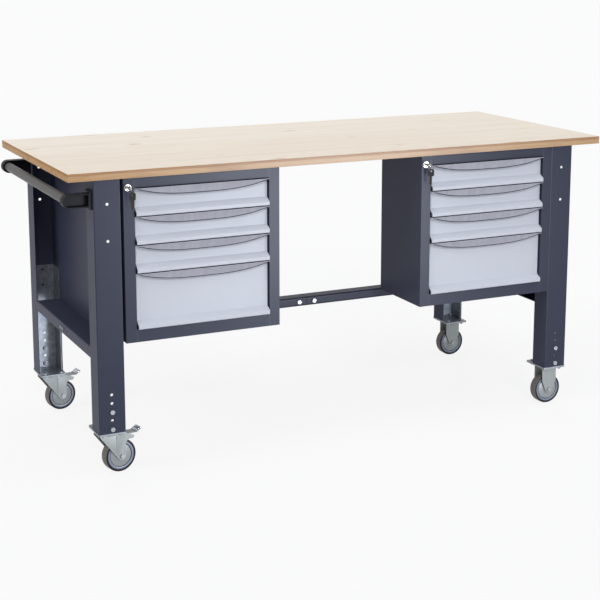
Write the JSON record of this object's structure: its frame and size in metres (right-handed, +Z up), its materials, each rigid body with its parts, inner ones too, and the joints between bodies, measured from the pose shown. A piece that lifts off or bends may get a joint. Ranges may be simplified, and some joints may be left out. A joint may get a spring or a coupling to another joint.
{
  "type": "mobile work table",
  "caption": "Mobile work table with a plywood top, two hanging drawer cabinets with locks, a push handle, braked swivel casters at one end and fixed casters at the other.",
  "frame": {"origin": "centre of the object's box on the floor, where the wheels stand", "axes": "+X along the table to the right, away from the push handle; +Y from the drawer side to the back; +Z up"},
  "size_m": [1.811, 0.77, 0.91],
  "materials": {
    "plywood": "clear lacquered birch plywood, tan edges",
    "anthracite_paint": "fine powder coat",
    "galvanised_steel": "galvanised sheet",
    "light_grey_paint": "smooth powder coat",
    "zinc_fasteners": "bright zinc plated",
    "zinc_plate": "bright zinc plated pressed sheet",
    "nickel_key": "nickel plated",
    "key_bow_plastic": "moulded",
    "black_plastic": "fine moulded grain",
    "tube_coating": "dark grey coating",
    "wheel_plastic": "moulded grey",
    "tyre_rubber": "dark grey non-marking rubber"
  },
  "bodies": {
    "frame": {"worktop": "plywood", "leg_outer_fl": "anthracite_paint", "leg_outer_fr": "anthracite_paint", "leg_outer_bl": "anthracite_paint", "leg_outer_br": "anthracite_paint", "leg_inner_fl": "galvanised_steel", "leg_inner_fr": "galvanised_steel", "leg_inner_bl": "galvanised_steel", "leg_inner_br": "galvanised_steel", "side_rail_left": "anthracite_paint", "side_rail_right": "anthracite_paint", "side_panel_left": "anthracite_paint", "side_panel_right": "anthracite_paint", "beam_left": "anthracite_paint", "beam_right": "anthracite_paint", "beam_splice": "anthracite_paint", "frame_bolts": "zinc_fasteners", "caster_bolts": "zinc_fasteners", "cabinet_left": "anthracite_paint", "cabinet_right": "anthracite_paint", "drawer_runners": "galvanised_steel", "handle_arm_front": "black_plastic", "handle_arm_rear": "black_plastic", "handle_tube": "tube_coating", "swivel_plate_fl": "zinc_plate", "swivel_plate_bl": "zinc_plate", "fixed_fork_fr": "zinc_plate", "fixed_fork_br": "zinc_plate"},
    "drawer_l1": {"drawer_tray_l1": "light_grey_paint", "drawer_front_l1": "light_grey_paint"},
    "drawer_l2": {"drawer_tray_l2": "light_grey_paint", "drawer_front_l2": "light_grey_paint"},
    "drawer_l3": {"drawer_tray_l3": "light_grey_paint", "drawer_front_l3": "light_grey_paint"},
    "drawer_l4": {"drawer_tray_l4": "light_grey_paint", "drawer_front_l4": "light_grey_paint"},
    "drawer_r1": {"drawer_tray_r1": "light_grey_paint", "drawer_front_r1": "light_grey_paint"},
    "drawer_r2": {"drawer_tray_r2": "light_grey_paint", "drawer_front_r2": "light_grey_paint"},
    "drawer_r3": {"drawer_tray_r3": "light_grey_paint", "drawer_front_r3": "light_grey_paint"},
    "drawer_r4": {"drawer_tray_r4": "light_grey_paint", "drawer_front_r4": "light_grey_paint"},
    "lock_left": {"lock_key_left": "nickel_key"},
    "keys_left": {"spare_key_left": "key_bow_plastic"},
    "lock_right": {"lock_key_right": "nickel_key"},
    "keys_right": {"spare_key_right": "key_bow_plastic"},
    "swivel_fl": {"swivel_fork_fl": "zinc_plate"},
    "pedal_fl": {"brake_pedal_fl": "zinc_plate"},
    "wheel_fl": {"wheel_core_fl": "wheel_plastic", "tyre_fl": "tyre_rubber"},
    "swivel_bl": {"swivel_fork_bl": "zinc_plate"},
    "pedal_bl": {"brake_pedal_bl": "zinc_plate"},
    "wheel_bl": {"wheel_core_bl": "wheel_plastic", "tyre_bl": "tyre_rubber"},
    "wheel_fr": {"wheel_core_fr": "wheel_plastic", "tyre_fr": "tyre_rubber"},
    "wheel_br": {"wheel_core_br": "wheel_plastic", "tyre_br": "tyre_rubber"}
  },
  "joints": [
    {"name": "drawer_l1_slide", "type": "slide", "parent": "frame", "child": "drawer_l1", "axis": [0, -1, 0], "range_m": [0, 0.18]},
    {"name": "drawer_l2_slide", "type": "slide", "parent": "frame", "child": "drawer_l2", "axis": [0, -1, 0], "range_m": [0, 0.18]},
    {"name": "drawer_l3_slide", "type": "slide", "parent": "frame", "child": "drawer_l3", "axis": [0, -1, 0], "range_m": [0, 0.18]},
    {"name": "drawer_l4_slide", "type": "slide", "parent": "frame", "child": "drawer_l4", "axis": [0, -1, 0], "range_m": [0, 0.18]},
    {"name": "drawer_r1_slide", "type": "slide", "parent": "frame", "child": "drawer_r1", "axis": [0, -1, 0], "range_m": [0, 0.18]},
    {"name": "drawer_r2_slide", "type": "slide", "parent": "frame", "child": "drawer_r2", "axis": [0, -1, 0], "range_m": [0, 0.18]},
    {"name": "drawer_r3_slide", "type": "slide", "parent": "frame", "child": "drawer_r3", "axis": [0, -1, 0], "range_m": [0, 0.18]},
    {"name": "drawer_r4_slide", "type": "slide", "parent": "frame", "child": "drawer_r4", "axis": [0, -1, 0], "range_m": [0, 0.18]},
    {"name": "lock_left_turn", "type": "hinge", "parent": "frame", "child": "lock_left", "pos_m": [-0.7175, -0.376, 0.858], "axis": [0, -1, 0], "range_deg": [0, 90]},
    {"name": "keys_left_hang", "type": "hinge", "parent": "lock_left", "child": "keys_left", "pos_m": [-0.7175, -0.376, 0.858], "axis": [0, -1, 0], "range_deg": [-90, 0]},
    {"name": "lock_right_turn", "type": "hinge", "parent": "frame", "child": "lock_right", "pos_m": [0.2545, -0.376, 0.858], "axis": [0, -1, 0], "range_deg": [0, 90]},
    {"name": "keys_right_hang", "type": "hinge", "parent": "lock_right", "child": "keys_right", "pos_m": [0.2545, -0.376, 0.858], "axis": [0, -1, 0], "range_deg": [-90, 0]},
    {"name": "swivel_fl_turn", "type": "hinge", "parent": "frame", "child": "swivel_fl", "pos_m": [-0.7795, -0.303, 0.1247], "axis": [0, 0, 1], "continuous": true},
    {"name": "wheel_fl_roll", "type": "hinge", "parent": "swivel_fl", "child": "wheel_fl", "pos_m": [-0.74503, -0.29692, 0.05], "axis": [-0.1736, 0.9848, 0], "continuous": true},
    {"name": "pedal_fl_press", "type": "hinge", "parent": "swivel_fl", "child": "pedal_fl", "pos_m": [-0.73026, -0.29432, 0.113], "axis": [-0.1736, 0.9848, 0], "range_deg": [0, 15]},
    {"name": "swivel_bl_turn", "type": "hinge", "parent": "frame", "child": "swivel_bl", "pos_m": [-0.7795, 0.323, 0.1247], "axis": [0, 0, 1], "continuous": true},
    {"name": "wheel_bl_roll", "type": "hinge", "parent": "swivel_bl", "child": "wheel_bl", "pos_m": [-0.74503, 0.32908, 0.05], "axis": [-0.1736, 0.9848, 0], "continuous": true},
    {"name": "pedal_bl_press", "type": "hinge", "parent": "swivel_bl", "child": "pedal_bl", "pos_m": [-0.73026, 0.33168, 0.113], "axis": [-0.1736, 0.9848, 0], "range_deg": [0, 15]},
    {"name": "wheel_fr_roll", "type": "hinge", "parent": "frame", "child": "wheel_fr", "pos_m": [0.7655, -0.303, 0.05], "axis": [0, 1, 0], "continuous": true},
    {"name": "wheel_br_roll", "type": "hinge", "parent": "frame", "child": "wheel_br", "pos_m": [0.7655, 0.323, 0.05], "axis": [0, 1, 0], "continuous": true}
  ],
  "couplings": [
    {"joint": "keys_left_hang", "follows": "lock_left_turn", "ratio": -1},
    {"joint": "keys_right_hang", "follows": "lock_right_turn", "ratio": -1}
  ]
}
